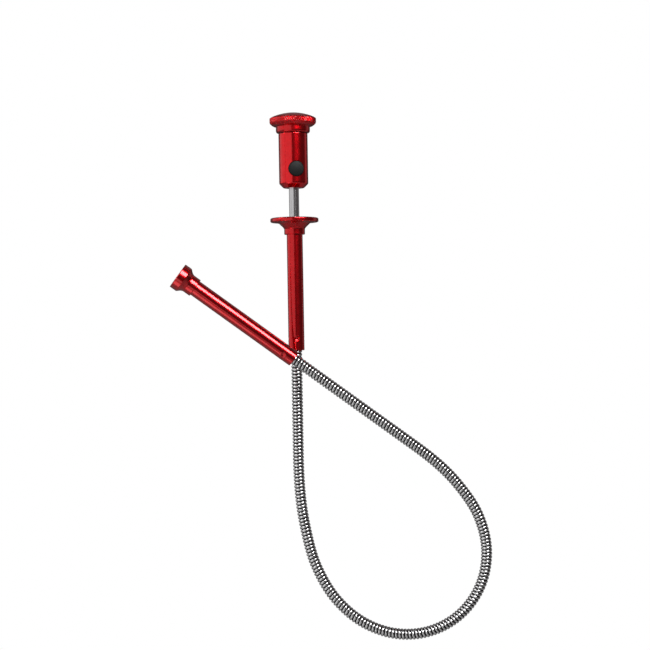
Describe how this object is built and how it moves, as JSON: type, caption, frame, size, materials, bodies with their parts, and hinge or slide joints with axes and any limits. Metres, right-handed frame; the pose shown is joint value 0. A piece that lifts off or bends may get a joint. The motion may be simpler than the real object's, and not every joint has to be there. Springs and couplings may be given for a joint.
{
  "type": "flexible claw pick-up tool",
  "caption": "Push-grip reacher with a sprung plunger, a long bendable metal shaft and a bell-mouthed head whose spring claws, lamp and ring magnet pick small things up.",
  "frame": {"origin": "centre of the finger flange's flat top face, on the handle's axis", "axes": "+Z along the handle's axis towards the knurled cap; the conduit's loop lies in the XZ plane with its belly towards +X; the head crosses the handle's end on the -Y side"},
  "size_m": [0.1694, 0.043, 0.2855],
  "materials": {
    "red_anodised": "bright red anodised aluminium, turned and polished",
    "black_rubber": "matt black moulded rubber",
    "spring_steel": "drawn spring steel",
    "cell_steel": "nickel-plated steel can",
    "liner_paper": "thin insulating sleeve",
    "white_plastic": "moulded nylon",
    "black_plastic": "moulded plastic",
    "green_board": "printed board with solder mask",
    "bright_steel": "ground stainless tube",
    "brass": "turned brass",
    "nickel_magnet": "nickel-plated ring magnet",
    "clear_lens": "clear moulded lamp body",
    "chrome_conduit": "bright plated coil",
    "drive_cable": "steel strand with two lamp wires"
  },
  "bodies": {
    "handle": {"finger_flange": "red_anodised", "handle_tube": "red_anodised", "guide_bush": "brass", "spring_seat": "brass", "return_spring": "spring_steel", "handle_crimp_sleeve": "brass", "conduit_00": "chrome_conduit", "cable_00": "drive_cable"},
    "plunger": {"battery_barrel": "red_anodised", "cap_seal_ring": "black_rubber", "button_cells": "cell_steel", "cell_liner": "liner_paper", "switch_holder": "white_plastic", "switch_board": "green_board", "tact_switch": "black_plastic", "plunger_tube": "bright_steel", "plunger_stop": "brass", "plunger_cable": "drive_cable"},
    "cap_spring": {"battery_spring": "spring_steel"},
    "cap": {"battery_cap": "red_anodised"},
    "button": {"light_button": "black_rubber"},
    "shaft_01": {"conduit_01": "chrome_conduit", "cable_01": "drive_cable"},
    "shaft_02": {"conduit_02": "chrome_conduit", "cable_02": "drive_cable"},
    "shaft_03": {"conduit_03": "chrome_conduit", "cable_03": "drive_cable"},
    "shaft_04": {"conduit_04": "chrome_conduit", "cable_04": "drive_cable"},
    "shaft_05": {"conduit_05": "chrome_conduit", "cable_05": "drive_cable"},
    "shaft_06": {"conduit_06": "chrome_conduit", "cable_06": "drive_cable"},
    "shaft_07": {"conduit_07": "chrome_conduit", "cable_07": "drive_cable"},
    "shaft_08": {"conduit_08": "chrome_conduit", "cable_08": "drive_cable"},
    "shaft_09": {"conduit_09": "chrome_conduit", "cable_09": "drive_cable"},
    "shaft_10": {"conduit_10": "chrome_conduit", "cable_10": "drive_cable"},
    "shaft_11": {"conduit_11": "chrome_conduit", "cable_11": "drive_cable"},
    "shaft_12": {"conduit_12": "chrome_conduit", "cable_12": "drive_cable"},
    "head": {"conduit_13": "chrome_conduit", "cable_13": "drive_cable", "head_crimp_sleeve": "brass", "head_tube": "red_anodised", "bell_mouth": "red_anodised", "mouth_magnet": "nickel_magnet"},
    "claw_carrier": {"claw_hub": "brass", "hub_cable": "drive_cable", "lamp_stem": "bright_steel", "lamp": "clear_lens"},
    "claw_1": {"claw_1": "spring_steel"},
    "claw_2": {"claw_2": "spring_steel"},
    "claw_3": {"claw_3": "spring_steel"},
    "claw_4": {"claw_4": "spring_steel"}
  },
  "joints": [
    {"name": "plunger_push", "type": "slide", "parent": "handle", "child": "plunger", "axis": [0, 0, -1], "range_m": [0, 0.015], "stiffness_N_per_m": 300, "springref_m": -0.01, "deforming": ["return_spring"]},
    {"name": "button_press", "type": "slide", "parent": "plunger", "child": "button", "axis": [-0.225, 0.9744, 0], "range_m": [0, 0.0008], "stiffness_N_per_m": 1500, "springref_m": -0.0003},
    {"name": "cap_lift", "type": "slide", "parent": "plunger", "child": "cap_spring", "axis": [0, 0, 1], "range_m": [0, 0.00525]},
    {"name": "cap_turn", "type": "hinge", "parent": "cap_spring", "child": "cap", "pos_m": [0, 0, 0.0454], "axis": [0, 0, 1], "range_deg": [-0.6, 2521]},
    {"name": "shaft_bend_01", "type": "hinge", "parent": "handle", "child": "shaft_01", "pos_m": [0, 0, -0.1245], "axis": [0, 1, 0], "range_deg": [-0.35, 4.19], "stiffness_Nm_per_rad": 3},
    {"name": "shaft_bend_02", "type": "hinge", "parent": "shaft_01", "child": "shaft_02", "pos_m": [0.00308, 0, -0.16675], "axis": [0, 1, 0], "range_deg": [-0.88, 10.94], "stiffness_Nm_per_rad": 3},
    {"name": "shaft_bend_03", "type": "hinge", "parent": "shaft_02", "child": "shaft_03", "pos_m": [0.00911, 0, -0.1891], "axis": [0, 1, 0], "range_deg": [-1.26, 15.5], "stiffness_Nm_per_rad": 3},
    {"name": "shaft_bend_04", "type": "hinge", "parent": "shaft_03", "child": "shaft_04", "pos_m": [0.0196, 0, -0.20684], "axis": [0, 1, 0], "range_deg": [-1.53, 18.96], "stiffness_Nm_per_rad": 3},
    {"name": "shaft_bend_05", "type": "hinge", "parent": "shaft_04", "child": "shaft_05", "pos_m": [0.03439, 0, -0.21945], "axis": [0, 1, 0], "range_deg": [-1.75, 21.63], "stiffness_Nm_per_rad": 3},
    {"name": "shaft_bend_06", "type": "hinge", "parent": "shaft_05", "child": "shaft_06", "pos_m": [0.05216, 0, -0.22552], "axis": [0, 1, 0], "range_deg": [-1.9, 23.56], "stiffness_Nm_per_rad": 3},
    {"name": "shaft_bend_07", "type": "hinge", "parent": "shaft_06", "child": "shaft_07", "pos_m": [0.07054, 0, -0.22401], "axis": [0, 1, 0], "range_deg": [-2, 24.73], "stiffness_Nm_per_rad": 3},
    {"name": "shaft_bend_08", "type": "hinge", "parent": "shaft_07", "child": "shaft_08", "pos_m": [0.0865, 0, -0.21502], "axis": [0, 1, 0], "range_deg": [-2.01, 25.07], "stiffness_Nm_per_rad": 3},
    {"name": "shaft_bend_09", "type": "hinge", "parent": "shaft_08", "child": "shaft_09", "pos_m": [0.09719, -0.00005, -0.20005], "axis": [0, 1, 0], "range_deg": [-1.98, 24.55], "stiffness_Nm_per_rad": 3},
    {"name": "shaft_bend_10", "type": "hinge", "parent": "shaft_09", "child": "shaft_10", "pos_m": [0.10075, -0.00049, -0.18168], "axis": [0, 1, 0], "range_deg": [-1.86, 22.98], "stiffness_Nm_per_rad": 3},
    {"name": "shaft_bend_11", "type": "hinge", "parent": "shaft_10", "child": "shaft_11", "pos_m": [0.09672, -0.00155, -0.16269], "axis": [0, 1, 0], "range_deg": [-1.63, 20.12], "stiffness_Nm_per_rad": 3},
    {"name": "shaft_bend_12", "type": "hinge", "parent": "shaft_11", "child": "shaft_12", "pos_m": [0.08555, -0.00338, -0.14488], "axis": [0, 1, 0], "range_deg": [-1.23, 15.16], "stiffness_Nm_per_rad": 3},
    {"name": "shaft_bend_13", "type": "hinge", "parent": "shaft_12", "child": "head", "pos_m": [0.06203, -0.00673, -0.12313], "axis": [0, 1, 0], "range_deg": [-0.5, 6.01], "stiffness_Nm_per_rad": 3},
    {"name": "claw_advance", "type": "slide", "parent": "head", "child": "claw_carrier", "axis": [-0.7963, -0.1045, 0.5957], "range_m": [0, 0.015]},
    {"name": "claw_1_open", "type": "hinge", "parent": "claw_carrier", "child": "claw_1", "pos_m": [-0.04507, -0.01948, -0.04124], "axis": [-0.4828, 0.7032, -0.5219], "range_deg": [-0.01, 25.02]},
    {"name": "claw_2_open", "type": "hinge", "parent": "claw_carrier", "child": "claw_2", "pos_m": [-0.04677, -0.01948, -0.04351], "axis": [-0.3644, -0.7032, -0.6105], "range_deg": [-0.01, 25.02]},
    {"name": "claw_3_open", "type": "hinge", "parent": "claw_carrier", "child": "claw_3", "pos_m": [-0.04653, -0.02229, -0.04369], "axis": [0.4828, -0.7032, 0.5219], "range_deg": [-0.01, 25.02]},
    {"name": "claw_4_open", "type": "hinge", "parent": "claw_carrier", "child": "claw_4", "pos_m": [-0.04483, -0.02229, -0.04142], "axis": [0.3644, 0.7032, 0.6105], "range_deg": [-0.01, 25.02]}
  ],
  "couplings": [
    {"joint": "shaft_bend_01", "follows": "shaft_bend_02", "ratio": 0.3809},
    {"joint": "shaft_bend_03", "follows": "shaft_bend_02", "ratio": 1.4147},
    {"joint": "shaft_bend_04", "follows": "shaft_bend_02", "ratio": 1.7304},
    {"joint": "shaft_bend_05", "follows": "shaft_bend_02", "ratio": 1.9747},
    {"joint": "shaft_bend_06", "follows": "shaft_bend_02", "ratio": 2.1513},
    {"joint": "shaft_bend_07", "follows": "shaft_bend_02", "ratio": 2.2583},
    {"joint": "shaft_bend_09", "follows": "shaft_bend_08", "ratio": 0.97851},
    {"joint": "shaft_bend_10", "follows": "shaft_bend_08", "ratio": 0.91581},
    {"joint": "shaft_bend_11", "follows": "shaft_bend_08", "ratio": 0.80168},
    {"joint": "shaft_bend_12", "follows": "shaft_bend_08", "ratio": 0.6039},
    {"joint": "shaft_bend_13", "follows": "shaft_bend_08", "ratio": 0.23887},
    {"joint": "claw_advance", "follows": "plunger_push", "ratio": 1},
    {"joint": "cap_turn", "follows": "cap_lift", "rad_per_m": 8377.6},
    {"joint": "claw_1_open", "follows": "plunger_push", "rad_per_m": 29.089},
    {"joint": "claw_2_open", "follows": "plunger_push", "rad_per_m": 29.089},
    {"joint": "claw_3_open", "follows": "plunger_push", "rad_per_m": 29.089},
    {"joint": "claw_4_open", "follows": "plunger_push", "rad_per_m": 29.089}
  ]
}
